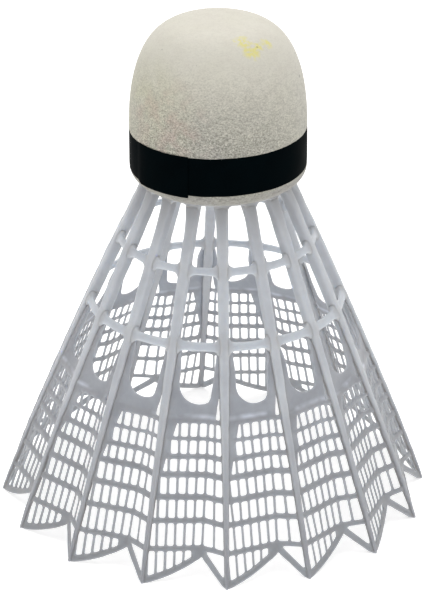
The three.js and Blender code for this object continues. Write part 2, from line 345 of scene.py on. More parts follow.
def nylon_material(name, light, dark, tip, glint_strength):
    """Milky translucent nylon with faint clouds in its colour, a soft skin and flow ripples, and a painted
    glint on the vanes' ledge. It is greyer where it thins out towards the tips, and darker beside the hub
    with painted shadow from the head."""
    nodes = Nodes(name)
    haze = nodes.clouds(0.9, 0.3, 0.7, 0, 0.25, detail=2)
    clouds = nodes.math("ADD", nodes.clouds(4.5, 0.3, 0.7, 0, 0.75, detail=3), haze)
    body = nodes.mix(nodes.height(THIN_BELOW, THICK_ABOVE), tip, nodes.mix(clouds, dark, light))
    # painted shadow: the head's shadow on the ribs just below it, painted into their colour
    shaded = nodes.mix(nodes.height(HEAD_SHADOW_FROM, HUB[0].z, 0, 0.85), body, RIB_HEAD_SHADOW)
    # painted highlight: a glint in patches along the vanes' ledge, painted into their colour
    glint_patches = nodes.clouds(3.5, 0.45, 0.65, 0, glint_strength, detail=2)
    glint = nodes.times(nodes.level(LEDGE_HEIGHT, LEDGE_GLINT_REACH), glint_patches)
    nodes.feed("Base Color", nodes.mix(glint, shaded, VANE_GLINT_COLOUR))
    nodes.feed("Roughness", nodes.clouds(1.6, 0.3, 0.7, 0.36, 0.54))
    ripples = nodes.bump(nodes.noise(1.1, detail=2), 0.03, 0.6)
    nodes.feed("Normal", nodes.bump(nodes.noise(0.16, detail=2), 0.006, 0.5, ripples))
    nodes.set(IOR=1.5, Specular_IOR_Level=0.35)
    nodes.set(Subsurface_Weight=1.0, Subsurface_Scale=SCATTER_DISTANCE, Subsurface_Radius=SCATTER_BALANCE)
    return nodes.material


def cover_clouds(nodes, height):
    """The cover's colour with painted light towards its crown and painted shade towards its foot, with
    a grey side and faint pink and yellow clouds."""
    # painted light and shade: lighter towards the crown and darker towards the foot, as light falls from
    # above
    painted_light_and_shade = nodes.mix(nodes.math("POWER", height, 1.7), COVER_SHADED_FOOT, COVER_LIT_CROWN_AND_TUFTS)
    footed = nodes.mix(nodes.height(STRIP_ENDS, STRIP_BELOW, 0, 0.85), painted_light_and_shade, COVER_FOOT)
    greyed = nodes.mix(nodes.ramp(nodes.near(*GREY_CLOUD), 0.05, 0.8, 0, 0.45), footed, COVER_GREY)
    pink = nodes.times(
        nodes.clouds(2.4, 0.44, 0.64, 0, 0.75, detail=4),
        nodes.ramp(nodes.near(*PINK_CLOUD), 0, 0.5, 0.06, 1),
    )
    yellow = nodes.times(
        nodes.clouds(7.5, 0.4, 0.7, 0.3, 0.7, detail=3, distortion=0.5),
        nodes.ramp(nodes.near(*YELLOW_CLOUD), 0, 0.6, 0.25, 1),
    )
    return nodes.mix(yellow, nodes.mix(pink, greyed, COVER_PINK), COVER_YELLOW)


def cover_nap(nodes, height, grain, skin):
    """The skin's colour with its speckle, wrinkles and mottling, which fade where the nap is worn
    smooth at the crown. The speckle is strongest on one side, and faint below the tape."""
    worn = nodes.ramp(height, 0.3, 0.88, 1, 0.12)
    rough_side = nodes.ramp(nodes.near(*ROUGH_NAP), 0, 0.5, 0.45, 1)
    above_strip = nodes.height(STRIP_BELOW, STRIP_ENDS, 0.25, 1)
    speckle = nodes.times(nodes.times(worn, rough_side), above_strip)
    hollows = nodes.times(nodes.ramp(grain, 0.45, 0.64, 0, 0.82), speckle)
    tufts = nodes.times(nodes.ramp(grain, 0.46, 0.35, 0, 0.66), speckle)
    speckled = nodes.mix(tufts, nodes.mix(hollows, skin, COVER_SHADE), COVER_LIT_CROWN_AND_TUFTS)
    fold = nodes.noise(1.2, detail=3, roughness=0.6, vector=nodes.stretched((0.7, 0.7, 1.6)))
    off_fold = nodes.math("ABSOLUTE", nodes.math("SUBTRACT", fold, 0.5))
    wrinkled = nodes.mix(nodes.times(nodes.ramp(off_fold, 0, 0.05, 0.4, 0), worn), speckled, COVER_SHADE)
    mottle = nodes.times(nodes.clouds(2.4, 0.4, 0.7, 0, 0.25, detail=3), worn)
    return nodes.mix(mottle, wrinkled, COVER_GREY)


def cover_marks(nodes, skin):
    """The skin's colour with a smear of yellow near the crown and a few dark specks."""
    spots = [nodes.near(*spot) for spot in SCUFF_SPOTS]
    scuff = spots[0]
    for spot in spots[1:]:
        scuff = nodes.math("MAXIMUM", scuff, spot)
    smear = nodes.times(scuff, nodes.clouds(0.8, 0.34, 0.66, 0.05, 1, detail=3, distortion=0.6))
    scuffed = nodes.mix(nodes.ramp(smear, 0.10, 0.40, 0, 0.72), skin, SCUFF_COLOUR)
    speck_size = nodes.clouds(3.2, 0.5, 0.75, 0, 0.2, detail=1)
    specks = nodes.math("LESS_THAN", nodes.cells(1.5).outputs["Distance"], speck_size)
    return nodes.mix(nodes.times(specks, 0.4), scuffed, COVER_SPECK)


def cover_material():
    """Off-white brushed skin over the head."""
    nodes = Nodes("cover_skin")
    height = nodes.height(COVER[0].z, COVER[1].z)
    grain = nodes.noise(GRAIN_SIZE, detail=3, roughness=0.7, vector=nodes.stretched((1, 1, 1.4)))
    skin = cover_nap(nodes, height, grain, cover_clouds(nodes, height))
    nodes.feed("Base Color", cover_marks(nodes, skin))
    nodes.feed("Roughness", nodes.ramp(grain, 0.3, 0.7, 0.68, 0.9))
    soft = nodes.bump(nodes.noise(2.4, detail=3), 0.08, 0.5)
    creases = nodes.noise(1.0, detail=3, vector=nodes.stretched((0.25, 0.25, 2.4)))
    creased = nodes.bump(creases, 0.03, 0.5, soft)
    nodes.feed("Normal", nodes.bump(grain, 0.06, 0.8, creased))
    nodes.set(Sheen_Weight=0.15, Sheen_Roughness=0.6, Specular_IOR_Level=0.3)
    return nodes.material


def tape_material():
    """Black tape: a dull face with a fine weave and a few pressed marks."""
    nodes = Nodes("black_tape")
    smear = nodes.noise(3.5, detail=4)
    nodes.feed("Base Color", nodes.mix(nodes.ramp(smear, 0.3, 0.7, 0, 1), TAPE_DARK, TAPE_LIGHT))
    nodes.feed("Roughness", nodes.ramp(smear, 0.3, 0.7, 0.48, 0.64))
    weave = nodes.noise(0.3, detail=2, vector=nodes.stretched((1, 1, 3)))
    pressed = nodes.bump(nodes.noise(2.2, detail=2), 0.05, 0.5)
    nodes.feed("Normal", nodes.bump(weave, 0.015, 0.6, pressed))
    nodes.set(Specular_IOR_Level=0.005)
    return nodes.material


def cork_material():
    """Pressed cork: light and dark granules with small pits."""
    nodes = Nodes("pressed_cork")
    granules = nodes.cells(CORK_GRANULE)
    shade = nodes.tree.nodes.new("ShaderNodeSeparateColor")
    nodes.link(granules.outputs["Color"], shade.inputs["Color"])
    base = nodes.mix(shade.outputs["Red"], CORK_DARK, CORK_LIGHT)
    pits = nodes.clouds(0.7, 0.58, 0.7, 0, 1, detail=4, roughness=0.7)
    nodes.feed("Base Color", nodes.mix(pits, base, CORK_PIT))
    nodes.feed("Roughness", nodes.ramp(pits, 0, 1, 0.78, 0.95))
    rough = nodes.bump(granules.outputs["Distance"], 0.12, 0.6)
    nodes.feed("Normal", nodes.bump(pits, -0.15, 0.7, rough))
    return nodes.material


def floor_material():
    nodes = Nodes("pale_floor")
    nodes.feed("Base Color", nodes.mix(nodes.noise(60, detail=3), FLOOR_DARK, FLOOR_LIGHT))
    nodes.set(Roughness=0.9, Specular_IOR_Level=0.1)
    nodes.set(Emission_Color=(1, 1, 1, 1), Emission_Strength=FLOOR_GLOW)
    return nodes.material


rib_nylon = nylon_material("rib_nylon", RIB_LIGHT, RIB_DARK, RIB_TIP, 0)
vane_nylon = nylon_material("vane_nylon", VANE_LIGHT, VANE_DARK, VANE_TIP, VANE_GLINT)
cover_skin = cover_material()
black_tape = tape_material()
pressed_cork = cork_material()


# ---- Camera ----

CAMERA_DISTANCE = 490.6  # from the axis, in plan
CAMERA_HEIGHT = 271.43
CAMERA_AZIMUTH = math.radians(-3.769)
CAMERA_YAW = math.radians(-0.044)
CAMERA_PITCH = math.radians(26.106)
CAMERA_ROLL = math.radians(0.372)
CAMERA_LENS = 220.57
CAMERA_SENSOR = 36.0
CAMERA_NEAR = 0.01  # in metres
CAMERA_FAR = 20.0


def add_camera():
    heading = CAMERA_AZIMUTH - CAMERA_YAW
    forward = Vector((-math.sin(heading), math.cos(heading), 0)) * math.cos(CAMERA_PITCH)
    forward.z = -math.sin(CAMERA_PITCH)
    level = Vector((math.cos(heading), math.sin(heading), 0))
    raised = level.cross(forward)
    right = math.cos(CAMERA_ROLL) * level + math.sin(CAMERA_ROLL) * raised
    up = math.cos(CAMERA_ROLL) * raised - math.sin(CAMERA_ROLL) * level
    data = bpy.data.cameras.new("camera")
    data.lens = CAMERA_LENS
    data.sensor_width = CAMERA_SENSOR
    data.clip_start = CAMERA_NEAR
    data.clip_end = CAMERA_FAR
    camera = bpy.data.objects.new("camera", data)
    bpy.context.scene.collection.objects.link(camera)
    place = Matrix((right, up, -forward)).transposed().to_4x4()
    x, y = around(CAMERA_DISTANCE, CAMERA_AZIMUTH)
    place.translation = Vector((x, y, CAMERA_HEIGHT)) / MM_PER_M
    camera.matrix_world = place
    bpy.context.scene.camera = camera


add_camera()


# ---- Ribs ----

RIB_SECTION_POINTS = 28
RIB_SECTION_POWER = 3.4
RIB_RINGS = 64
RIB_END = HUB[0].z + 0.25  # the ribs run into the hub's flange
TIP_ROUNDING = 0.2
TIP_RINGS = 7
TIP_FIRST_ANGLE = 0.12
TIP_END_SIZE = 0.06  # square of the share of its full size that the section has at the very tip
GUSSET_HEIGHT = 3.6
GUSSET_REACH = 0.4
GUSSET_CURVE = 1.5
FIN_FROM = 0.55  # share of the half-width beyond which the section is drawn out into the gusset
FIN_SPAN = 0.45


def rib_width(z):
    return np.interp(z, RIB_HEIGHTS, RIB_WIDTHS)


def rib_depth(z):
    return np.interp(z, RIB_HEIGHTS, RIB_DEPTHS)


def rounded_section(count, power):
    """Points of a rounded rectangle of half-size 1, anticlockwise."""
    t = full_turn(count)
    across = np.sign(np.cos(t)) * np.abs(np.cos(t)) ** (2 / power)
    deep = np.sign(np.sin(t)) * np.abs(np.sin(t)) ** (2 / power)
    return across, deep


def tip_narrowing(z):
    """Share of its full size that a rib's section has near the rounded tip."""
    if z > TIP_ROUNDING:
        return 1
    return math.sqrt(max(TIP_END_SIZE, 1 - (1 - z / TIP_ROUNDING) ** 2))


def rib_rings():
    """Rings of a rib; near the hub it widens into a thin gusset on its lower-azimuth side."""
    tip = TIP_ROUNDING * (1 - np.cos(np.linspace(TIP_FIRST_ANGLE, math.pi / 2, TIP_RINGS)))
    tip[0] = 0
    heights = np.concatenate([tip, np.linspace(TIP_ROUNDING, RIB_END, RIB_RINGS)[1:]])
    across, deep = rounded_section(RIB_SECTION_POINTS, RIB_SECTION_POWER)
    on_fin = np.clip(-across - FIN_FROM, 0, FIN_SPAN) / FIN_SPAN
    rings = []
    for z in heights:
        narrowing = tip_narrowing(z)
        depth = rib_depth(z) * narrowing
        share = smooth_step((z - RIB_END + GUSSET_HEIGHT) / GUSSET_HEIGHT) ** GUSSET_CURVE
        x = across * rib_width(z) / 2 * narrowing - GUSSET_REACH * share * on_fin
        radius = cone_radius(z) - depth / 2 - deep * depth / 2
        rings.append(np.column_stack([x, -radius, np.full_like(x, z)]))
    return rings


def add_ribs():
    bar = rib_rings()
    points = np.concatenate(bar)
    faces = capped_loft(bar)
    for k in range(RIB_COUNT):
        number = f"{k + 1:02d}"
        placed = moulded(turned_by(points, k * RIB_PITCH))
        piece = add_object(f"nylon_rib_{number}", placed, faces, [rib_nylon], "root", sharp_angle=50)
        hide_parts(f"rib_{number}")


add_ribs()


# ---- Hoops ----

HOOP_STEPS = 20 * RIB_COUNT
HOOP_SECTION_POINTS = 16
HOOP_SECTION_POWER = 3.0
HOOP_FILLET = 0.95
FILLET_HEIGHT = 0.8  # share of the fillet by which a hoop grows taller beside a rib
FILLET_DEPTH = 0.6  # and deeper
FILLET_FORWARD = 0.25  # and by which its face comes forward


def off_rib(azimuth, radius, z):
    """Distance along the hoop from the nearest rib's flank."""
    turn = (azimuth + RIB_PITCH / 2) % RIB_PITCH - RIB_PITCH / 2
    return np.abs(turn) * radius - rib_width(z) / 2


def fillet(distance, size):
    """Height of a quarter-round fillet at a distance from its wall."""
    inside = np.clip(distance / size, 0, 1)
    return size * (1 - np.sqrt(1 - (1 - inside) ** 2))


def add_hoop(name, node, box):
    """A hoop that leans with the cone and has a fillet on each side of every rib."""
    low, high = box[0].z, box[1].z
    middle = (low + high) / 2
    slope = math.atan(SKIRT_TAPER)
    half = (high - low) / 2 / math.cos(slope)
    across, deep = rounded_section(HOOP_SECTION_POINTS, HOOP_SECTION_POWER)
    face_radius = cone_radius(middle) - HOOP_SETBACK
    rings = []
    for azimuth in full_turn(HOOP_STEPS):
        grown = fillet(off_rib(azimuth, face_radius, middle), HOOP_FILLET)
        along = across * (half + grown * FILLET_HEIGHT)
        inward = (HOOP_DEPTH + FILLET_DEPTH * grown) / 2 * (1 + deep) - FILLET_FORWARD * grown
        radius = face_radius - inward * math.cos(slope) - along * math.sin(slope)
        z = middle - inward * math.sin(slope) + along * math.cos(slope)
        rings.append(upright(radius, azimuth, z))
    points = moulded(np.concatenate(rings))
    faces = grid_faces(HOOP_STEPS, HOOP_SECTION_POINTS, wrap_rows=True, wrap_columns=True)
    piece = add_object(name, points, faces, [rib_nylon], "root", sharp_angle=60)
    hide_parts(node)


add_hoop("nylon_hoop_upper", "stem_ring_upper", UPPER_HOOP)
add_hoop("nylon_hoop_lower", "stem_ring_lower", LOWER_HOOP)


# ---- Vanes ----

VANE_SETBACK = 0.16  # the ribs stand this much proud of the vanes
TIP_SETBACK = 0.08  # and this much at their tips
TIP_ZONE = 8.0  # the setback grows from one to the other up to this height
LEDGE_STEP = 0.12
HOOP_TUCK = 0.4  # extra setback where the vane runs into the lower hoop
TUCK_HEIGHT = 2.5
VANE_TOP = LOWER_HOOP[0].z + 0.45
FOLD_FADE = (LOWER_HOOP[0].z + LOWER_HOOP[1].z) / 2  # the fold has run out at this height
FOLD_DEPTH = 1.62
VANE_THICKNESS = 0.42
STRAND_THICKNESS = 0.26
EDGE_BEVEL = 0.07
RIB_OVERLAP = 0.12  # how far the vane reaches into the rib

WEB_BOTTOM = 21.74
VALLEY_AZIMUTH = 15.3  # in degrees, at the tips
VALLEY_TURN = 0.055  # in degrees for each millimetre of height
WEB_TURN = 0.33  # added to it on the web
BARS = [(19.61, 0.4), (17.17, 0.6), (14.7, 0.73), (11.63, 0.73), (8.4, 0.67), (4.62, 0.61)]  # height, width
LOWEST_EDGE = BARS[-1][0] - BARS[-1][1] / 2
STRAND_PITCH = 1.32
STRAND_WIDTH = 0.36
CELL_CORNER = 0.3
CORNER_LIMIT = 0.42  # share of a side that a rounded corner may take up
MARGIN_START = 12.4  # web grows beside the first rib above this height
MARGIN_SLOPE = 0.15
MARGIN_LEAST = 0.05
MIDDLE_STRAND = 0.54  # share of the short side at which its middle strand runs
SMALLEST_CELL = 0.28

NOTCH_HEIGHT = 3.36
NOTCH_WEB = 1.25  # no cell starts nearer the notch than this in the lowest row
NOTCH_CREST = [(-0.12, -0.02), (0.0, 0.03), (0.15, -0.02)]  # across, and above the notch's height
RIM_CURVE = (0.45, 0.55)  # shares of a line and of a parabola in the rim's hollow curve
RIM_FOOT = 0.06  # height at which the rim's ends meet the ribs
RIM_START = (0.35, 0.3)  # distance from the notch at which the long and the short rim start
SIDE_FOOT = 0.5  # height at which the vane's sides start
SIDE_LEAST = 0.1
BORDER = 0.9
SHORT_BORDER = BORDER * 1.2
BORDER_GAP = 0.3

WINDOW_ARC = 3.1
WINDOW_BOTTOM = 24.2
WINDOW_SIDE = 0.9
WINDOW_TAPER = 0.65
TAPER_FROM = 28.0
TAPER_HEIGHT = 3.5
STRIP_HALF = 0.24
STRIP_FOOT = 0.9
STRIP_CORNER = [(0.75, 0.12), (0.22, 0.36)]  # away from the strip, and above the window's foot
SLOT_NEAR = 0.95  # the strip is wider on the slot's side
SLOT_BOTTOM = 22.3
SLOT_TOP = 25.2
SLOT_EDGE = 0.1

VALLEY_POINTS = 30
VALLEY_ENDS = (0.4, 0.3)  # how far its crease stays clear of the notch and of the vane's top
LEDGE_START = 0.4
LEDGE_MARGIN = 0.1
MITRE_LIMIT = 0.6


def valley_azimuth(z):
    return np.radians(VALLEY_AZIMUTH + VALLEY_TURN * z + WEB_TURN * np.maximum(0, z - WEB_BOTTOM))


def fold_at(z):
    """The vane's outer radius, and its valley's plan position, radius and azimuth."""
    tuck = HOOP_TUCK * smooth_step((z - VANE_TOP + TUCK_HEIGHT) / TUCK_HEIGHT)
    setback = TIP_SETBACK + (VANE_SETBACK - TIP_SETBACK) * smooth_step(z / TIP_ZONE)
    radius = cone_radius(z) - setback - tuck
    azimuth = valley_azimuth(z)
    chord = radius * math.cos(RIB_PITCH / 2) / np.cos(azimuth - RIB_PITCH / 2)
    valley_radius = chord - FOLD_DEPTH * np.clip(1 - z / FOLD_FADE, 0, 1)
    return radius, around(valley_radius, azimuth), valley_radius, azimuth


def side_width(z, side):
    """Distance from the valley to the first (+1) or second (-1) rib's middle."""
    radius, valley, _, _ = fold_at(z)
    rib = around(radius, np.full_like(radius, 0 if side > 0 else RIB_PITCH))
    return np.linalg.norm(rib - valley, axis=-1)


def flank(z, side, margin):
    """Distance from the valley to a margin short of the rib's flank."""
    z = np.asarray(z, float)
    _, _, valley_radius, azimuth = fold_at(z)
    across = valley_radius * np.abs(np.sin((0 if side > 0 else RIB_PITCH) - azimuth))
    return side_width(z, side) * (1 - (rib_width(z) / 2 + margin) / across)


def vane_place(x, z, inward):
    """Places points of the flat drawing on the folded vane."""
    radius, valley, _, _ = fold_at(z)
    rib = around(radius, np.where(x > 0, 0.0, RIB_PITCH))
    width = np.linalg.norm(rib - valley, axis=-1)
    plan = valley + (rib - valley) * (np.abs(x) / width)[:, None]
    length = np.linalg.norm(plan, axis=-1)
    ledge = LEDGE_STEP * smooth_step((z - LEDGE_HEIGHT) / LEDGE_SLOPE) * (inward < VANE_THICKNESS / 2)
    plan = plan * (1 - (inward + ledge) / length)[:, None]
    return np.column_stack([plan, z])


def rim_height(x, side):
    """The lower rim: a hollow curve to the first rib, a straight line to the second."""
    share = np.clip(1 - np.abs(x) / flank(NOTCH_HEIGHT / 2, side, 0), 0, 1)
    line, parabola = RIM_CURVE
    return NOTCH_HEIGHT * (line * share + parabola * share**2 if side > 0 else share)


def rounded(points, radius, steps=3):
    """A polygon with its corners rounded off."""
    points = np.asarray(points, float)
    result = []
    for i, corner in enumerate(points):
        before, after = points[i - 1] - corner, points[(i + 1) % len(points)] - corner
        long_before, long_after = np.linalg.norm(before), np.linalg.norm(after)
        cosine = np.clip(before @ after / (long_before * long_after), -0.999, 0.999)
        cut = radius / math.tan(math.acos(cosine) / 2)
        cut = min(cut, CORNER_LIMIT * long_before, CORNER_LIMIT * long_after)
        start, end = corner + before / long_before * cut, corner + after / long_after * cut
        for t in np.linspace(0, 1, steps + 1):
            result.append((1 - t) ** 2 * start + 2 * t * (1 - t) * corner + t**2 * end)
    return np.array(result)


def clipped(polygon, limit):
    """The part of a polygon where x is below limit(z), a nearly straight line."""
    result = []
    for i, (x, z) in enumerate(polygon):
        next_x, next_z = polygon[(i + 1) % len(polygon)]
        here, there = limit(z) - x, limit(next_z) - next_x
        if here >= 0:
            result.append((x, z))
        if here * there < 0:
            t = here / (here - there)
            result.append((x + t * (next_x - x), z + t * (next_z - z)))
    return result


def long_margin(z):
    """Limit of the cells beside the first rib."""
    margin = max(MARGIN_LEAST, MARGIN_SLOPE * (z - MARGIN_START))
    return float(flank(z, 1, margin))


def signed_area(polygon):
    """Area of a polygon, negative if it runs clockwise."""
    x, z = np.asarray(polygon).T
    return (np.dot(x, np.roll(z, -1)) - np.dot(z, np.roll(x, -1))) / 2


def lattice_rows():
    """Lower and upper edge of each row of cells between two bars."""
    lows = [z + width / 2 for z, width in BARS]
    highs = [WEB_BOTTOM] + [z - width / 2 for z, width in BARS[:-1]]
    return list(zip(lows, highs))


def long_side_cells():
    found = []
    columns = range(int(side_width(np.array([0.0]), 1)[0] / STRAND_PITCH) + 1)
    for low, high in lattice_rows():
        for i in columns:
            near = STRAND_WIDTH / 2 + i * STRAND_PITCH
            far = near + STRAND_PITCH - STRAND_WIDTH
            found.append(clipped([(near, low), (far, low), (far, high), (near, high)], long_margin))
    for i in columns:
        near = max(STRAND_WIDTH / 2 + i * STRAND_PITCH, NOTCH_WEB)
        far = STRAND_WIDTH / 2 + (i + 1) * STRAND_PITCH - STRAND_WIDTH
        if far - near > SMALLEST_CELL:
            places = (near, (near + far) / 2, far)
            foot = [(x, min(float(rim_height(x, 1)) + BORDER, LOWEST_EDGE)) for x in places]
            found.append(clipped(foot + [(far, LOWEST_EDGE), (near, LOWEST_EDGE)], long_margin))
    return [cell for cell in found if len(cell) > 2 and abs(signed_area(cell)) > SMALLEST_CELL**2]


def short_end(z):
    """Limit of the cells beside the second rib."""
    return float(flank(z, -1, MARGIN_LEAST))


def short_side_cells():
    found = []
    half = STRAND_WIDTH / 2
    for low, high in lattice_rows():
        end_low, end_high = short_end(low), short_end(high)
        strand_low, strand_high = MIDDLE_STRAND * end_low, MIDDLE_STRAND * end_high
        found.append([(-half, low), (-half, high), (half - strand_high, high), (half - strand_low, low)])
        outer = [(-half - strand_low, low), (-half - strand_high, high), (-end_high, high), (-end_low, low)]
        found.append(outer)
    # The lowest cell is a triangle between the lowest bar, the second rib and the rim.
    foot = float(rim_height(short_end(LOWEST_EDGE / 3), -1)) + SHORT_BORDER
    rise = NOTCH_HEIGHT + SHORT_BORDER - LOWEST_EDGE
    start = rise / NOTCH_HEIGHT * short_end(SIDE_FOOT) + BORDER_GAP
    found.append([(-start, LOWEST_EDGE), (-short_end(LOWEST_EDGE), LOWEST_EDGE), (-short_end(foot), foot)])
    levels = np.linspace(SLOT_BOTTOM, SLOT_TOP, 6)
    slot = [(min(-float(flank(z, -1, SLOT_EDGE)), -SLOT_NEAR), z) for z in levels]
    found.append(slot + [(-SLOT_NEAR, z) for z in levels[::-1]])
    return found


def window_edge(z):
    """The window's side near the first rib, as a distance from that rib's flank."""
    widening = np.clip((z - TAPER_FROM) / TAPER_HEIGHT, 0, 1) ** 2
    return WINDOW_SIDE - WINDOW_TAPER * widening


def vane_outline():
    """The vane's outer edge, anticlockwise from its notch."""
    long_foot = float(flank(RIM_FOOT, 1, -RIB_OVERLAP))
    short_foot = float(flank(RIM_FOOT, -1, -RIB_OVERLAP))
    rim_long = [(x, float(rim_height(x, 1))) for x in np.linspace(RIM_START[0], long_foot, 14)]
    heights = np.linspace(SIDE_FOOT, VANE_TOP, 22)
    up_first = [(float(flank(z, 1, -RIB_OVERLAP)), z) for z in heights]
    centre = WINDOW_BOTTOM + WINDOW_ARC
    down_side = [(float(flank(z, 1, window_edge(z))), z) for z in np.linspace(VANE_TOP, centre, 8)]
    arc = []
    for angle in np.linspace(0, math.pi / 2, 9)[1:]:
        z = centre - WINDOW_ARC * math.sin(angle)
        away = window_edge(centre) + WINDOW_ARC * (1 - math.cos(angle))
        arc.append((float(flank(z, 1, away)), z))
    corner = [(STRIP_HALF + away, WINDOW_BOTTOM + up) for away, up in STRIP_CORNER]
    strip = [(STRIP_HALF, z) for z in np.linspace(WINDOW_BOTTOM + STRIP_FOOT, VANE_TOP, 7)]
    down_second = [(-float(max(SIDE_LEAST, flank(z, -1, -RIB_OVERLAP))), z) for z in heights[::-1]]
    rim_short = [(-x, float(rim_height(x, -1))) for x in np.linspace(short_foot, RIM_START[1], 7)]
    notch = [(x, NOTCH_HEIGHT + rise) for x, rise in NOTCH_CREST]
    return rim_long + up_first + down_side + arc + corner + strip + down_second + rim_short + notch


def left_normals(loop):
    """Unit steps towards the left of a closed loop, lengthened at its corners."""
    ahead = np.roll(loop, -1, axis=0) - loop
    ahead /= np.linalg.norm(ahead, axis=1)[:, None]
    bisector = ahead + np.roll(ahead, 1, axis=0)
    bisector /= np.linalg.norm(bisector, axis=1)[:, None]
    lengthen = 1 / np.clip((bisector * ahead).sum(axis=1), MITRE_LIMIT, 1)
    return np.column_stack([-bisector[:, 1], bisector[:, 0]]) * lengthen[:, None]


def thinning(x, z):
    """0 on the bars, the web and the rim, 1 in the middle of the rows, where the strands are slim."""
    rim = np.where(x > 0, rim_height(x, 1), rim_height(x, -1)) + BORDER
    result = np.zeros_like(z)
    for low, high in lattice_rows() + [(rim, LOWEST_EDGE)]:
        inside = np.minimum(z - low, high - z) / CELL_CORNER
        result = np.maximum(result, np.clip(inside, 0, 1))
    return result


def sheet_loops():
    """The vane's outline, anticlockwise, and then its cells, clockwise."""
    outline = np.array(vane_outline())
    loops = [outline if signed_area(outline) > 0 else outline[::-1]]
    for cell in long_side_cells() + short_side_cells():
        hole = rounded(cell, CELL_CORNER)
        loops.append(hole if signed_area(hole) < 0 else hole[::-1])
    return loops


def sheet_mesh():
    """Points (x, z, inward) and faces of one flat vane with bevelled edges."""
    loops = sheet_loops()
    edge = np.concatenate(loops)
    face_edge = edge + np.concatenate([left_normals(loop) for loop in loops]) * EDGE_BEVEL
    count = len(edge)
    heights = np.linspace(NOTCH_HEIGHT + VALLEY_ENDS[0], VANE_TOP - VALLEY_ENDS[1], VALLEY_POINTS)
    valley = np.column_stack([np.zeros_like(heights), heights])
    ledge_near = [(LEDGE_START, z) for z in LEDGE_LEVELS]
    ledge_far = [(float(flank(z, 1, LEDGE_MARGIN)), z) for z in LEDGE_LEVELS]
    flat = np.concatenate([face_edge, valley, ledge_near, ledge_far])
    ledge = count + VALLEY_POINTS
    creases = [(count + i, count + i + 1) for i in range(VALLEY_POINTS - 1)]
    creases += [(ledge, ledge + 2), (ledge + 1, ledge + 3)]
    starts = np.cumsum([0] + [len(loop) for loop in loops])
    rings = [list(range(a, b)) for a, b in zip(starts[:-1], starts[1:])]
    filled = rings[:1] + [ring[::-1] for ring in rings[1:]]
    _, _, triangles, origins, _, parents = delaunay_2d_cdt(
        [Vector(p) for p in flat], creases, filled, 0, 1e-5, True
    )
    front = [[origins[i][0] for i in face] for face, parent in zip(triangles, parents) if parent == [0]]
    slimmer = (VANE_THICKNESS - STRAND_THICKNESS) / 2
    spare = slimmer * thinning(*flat.T)
    edge_spare = slimmer * thinning(*edge.T)
    layers = [
        (flat, spare),
        (edge, edge_spare + EDGE_BEVEL),
        (edge, VANE_THICKNESS - EDGE_BEVEL - edge_spare),
        (flat, VANE_THICKNESS - spare),
    ]
    points = np.concatenate([np.column_stack([plan, depth]) for plan, depth in layers])
    first = np.cumsum([0, len(flat), count, count])
    faces = [list(face) for face in front]
    faces += [[first[3] + i for i in reversed(face)] for face in front]
    for ring in rings:
        for a, b in zip(ring, ring[1:] + ring[:1]):
            for lower, upper in zip(first[:-1], first[1:]):
                faces.append([lower + b, lower + a, upper + a, upper + b])
    return points, faces


def add_vanes():
    points, faces = sheet_mesh()
    placed = vane_place(points[:, 0], points[:, 1], points[:, 2])
    for k in range(RIB_COUNT):
        number = f"{k + 1:02d}"
        turned = moulded(turned_by(placed, k * RIB_PITCH))
        piece = add_object(f"nylon_vane_{number}", turned, faces, [vane_nylon], "root", sharp_angle=40)
        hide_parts(f"vane_{number}")


add_vanes()


# ---- Hub ----

FLANGE_RADIUS = HUB[1].x
FLANGE_TOP = COVER[0].z - 0.17
FLANGE_BLEND = (0.3, 1.0)  # where the flange starts to follow the moulding, and over what width
SPIGOT_RADIUS = 8.0
SPIGOT_WALL = 1.0
HUB_STEPS = 16 * RIB_COUNT
HUB_FILLET = 0.6
NEAR_AXIS = 0.01  # radius at which the ends of turned profiles stop


def hub_profile():
    """Radius, height and share of the fillet for each point round the hub's section."""
    bottom, top = HUB[0].z, HUB[1].z
    inside = SPIGOT_RADIUS - SPIGOT_WALL
    ceiling = top - SPIGOT_WALL
    bore = [
        (NEAR_AXIS, ceiling, 0),
        (inside - 0.6, ceiling, 0),
        (inside - 0.15, ceiling - 0.15, 0),
        (inside, ceiling - 0.6, 0),
        (inside, bottom + 0.2, 0),
    ]
    flange = [
        (inside + 0.2, bottom, 0),
        (FLANGE_RADIUS - 1.9, bottom, 0),
        (FLANGE_RADIUS - 1.3, bottom, 0.6),
        (FLANGE_RADIUS - 0.8, bottom, 1),
        (FLANGE_RADIUS - 0.15, bottom, 1),
        (FLANGE_RADIUS, bottom + 0.12, 1),
        (FLANGE_RADIUS, FLANGE_TOP - 0.1, 0),
        (FLANGE_RADIUS - 0.1, FLANGE_TOP, 0),
    ]
    spigot = [
        (SPIGOT_RADIUS + 0.3, FLANGE_TOP, 0),
        (SPIGOT_RADIUS, FLANGE_TOP + 0.3, 0),
        (SPIGOT_RADIUS, top - 0.4, 0),
        (SPIGOT_RADIUS - 0.4, top, 0),
        (NEAR_AXIS, top, 0),
    ]
    return np.array(bore + flange + spigot).T


def add_hub():
    """A flange with a fillet at each rib, and the hollow spigot that the core is glued on."""
    radius, z, share = hub_profile()
    count = len(radius)
    start, width = FLANGE_BLEND
    on_flange = smooth_step((radius - SPIGOT_RADIUS - start) / width)[:, None]
    rings = []
    for azimuth in full_turn(HUB_STEPS):
        grown = fillet(off_rib(azimuth, FLANGE_RADIUS, HUB[0].z), HUB_FILLET)
        ring = upright(radius, azimuth, z - share * grown)
        rings.append(ring + on_flange * (moulded(ring) - ring))
    faces = grid_faces(HUB_STEPS, count, wrap_rows=True)
    faces.append([i * count for i in reversed(range(HUB_STEPS))])
    faces.append([i * count + count - 1 for i in range(HUB_STEPS)])
    piece = add_object("nylon_hub", np.concatenate(rings), faces, [rib_nylon], "root", sharp_angle=45)
    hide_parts("skirt_hub")


add_hub()


# ---- Head ----

